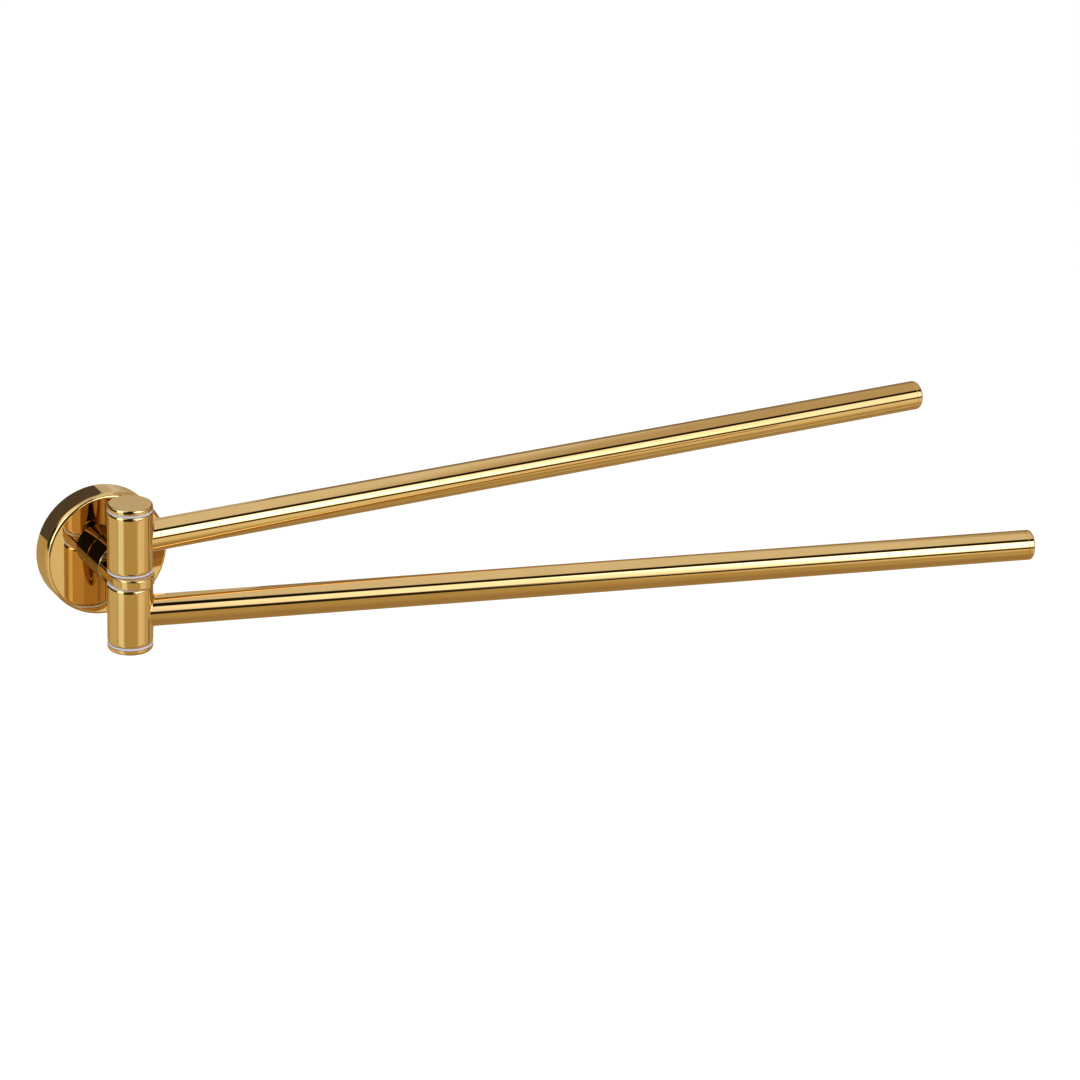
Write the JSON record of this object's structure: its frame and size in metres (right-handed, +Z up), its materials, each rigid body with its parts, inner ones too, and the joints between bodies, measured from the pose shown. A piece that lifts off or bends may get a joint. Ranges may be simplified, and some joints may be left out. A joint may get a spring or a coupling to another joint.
{
  "type": "swing arm towel bar",
  "caption": "Wall-mounted swing towel bar: two long tubular arms turn on a short vertical column that a round flange and a stout neck hold off the wall.",
  "frame": {"origin": "centre of the flange on the wall plane", "axes": "+Y into the wall, -Y into the room, +Z up, +X to the right along the wall, the side the arms point to at rest"},
  "size_m": [0.4506, 0.1349, 0.0678],
  "materials": {
    "gold_flange": "mirror-polished gold plate",
    "gold_neck": "mirror-polished gold plate",
    "gold_caps": "mirror-polished gold plate",
    "gold_barrels": "mirror-polished gold plate",
    "gold_tubes": "mirror-polished gold plate",
    "gold_end_caps": "mirror-polished gold plate",
    "plug_brass": "machined",
    "bracket_steel": "stainless steel, dull",
    "screw_steel": "stainless steel",
    "spindle_steel": "ground stainless steel",
    "bush_plastic": "satin, pale lavender white"
  },
  "bodies": {
    "wall_side": {"wall_bracket": "bracket_steel", "flange_cover": "gold_flange", "flange_grub_screw": "screw_steel", "neck": "gold_neck", "neck_flat_washer": "screw_steel", "neck_lock_washer": "screw_steel", "neck_screw": "screw_steel", "pivot_spindle": "spindle_steel", "top_cap": "gold_caps", "bottom_cap": "gold_caps"},
    "upper_arm": {"upper_barrel": "gold_barrels", "upper_arm_tube": "gold_tubes", "upper_arm_plug": "plug_brass", "upper_arm_stud": "screw_steel", "upper_arm_end_cap": "gold_end_caps", "upper_barrel_top_bush": "bush_plastic", "upper_barrel_bottom_bush": "bush_plastic"},
    "lower_arm": {"lower_barrel": "gold_barrels", "lower_arm_tube": "gold_tubes", "lower_arm_plug": "plug_brass", "lower_arm_stud": "screw_steel", "lower_arm_end_cap": "gold_end_caps", "lower_barrel_top_bush": "bush_plastic", "lower_barrel_bottom_bush": "bush_plastic"}
  },
  "joints": [
    {"name": "upper_arm_swing", "type": "hinge", "parent": "wall_side", "child": "upper_arm", "pos_m": [0, -0.0383, 0.01695], "axis": [0, 0, 1], "range_deg": [-187.65, 0.85]},
    {"name": "lower_arm_swing", "type": "hinge", "parent": "wall_side", "child": "lower_arm", "pos_m": [0, -0.0383, -0.01705], "axis": [0, 0, 1], "range_deg": [-171.95, 16.55]}
  ]
}
